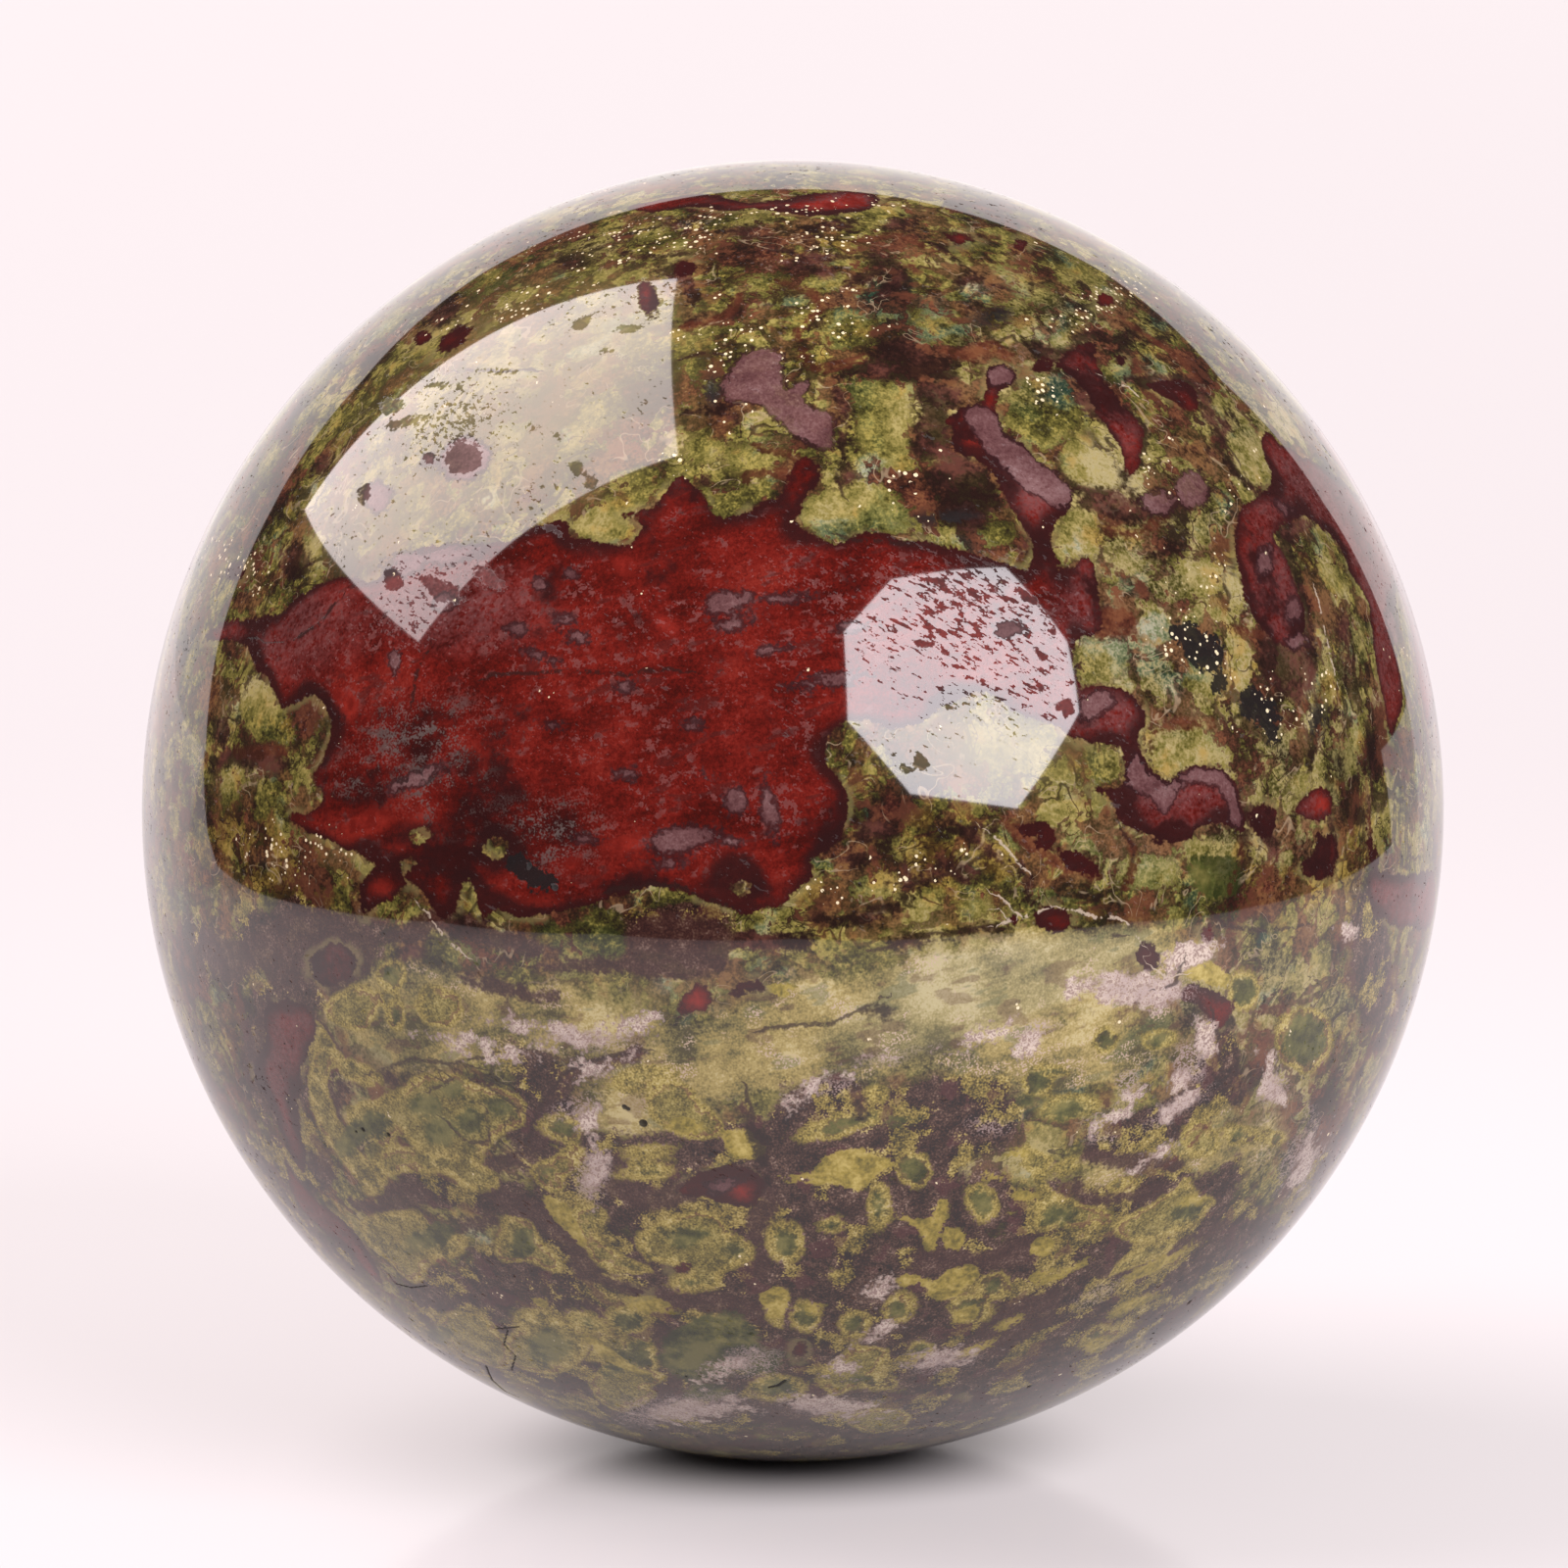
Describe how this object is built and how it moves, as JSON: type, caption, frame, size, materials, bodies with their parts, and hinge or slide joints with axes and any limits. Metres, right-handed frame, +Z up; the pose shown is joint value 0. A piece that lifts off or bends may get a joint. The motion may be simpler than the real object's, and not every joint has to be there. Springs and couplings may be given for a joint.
{
  "type": "dragon blood jasper sphere",
  "caption": "Polished sphere of mottled green and blood-red jasper, resting on a small ground flat. A display stone or paperweight.",
  "frame": {"origin": "centre of the small resting flat, on the surface that the stone stands on", "axes": "+Z up through the sphere's centre; -Y is the side that faces the viewer, with the large blood-red patch left of centre"},
  "size_m": [0.07, 0.07, 0.0698],
  "materials": {
    "polished_jasper": "mottled green and blood-red stone, polished to a mirror gloss with fine matte specks"
  },
  "bodies": {
    "root": {"jasper_sphere": "polished_jasper"}
  },
  "joints": []
}
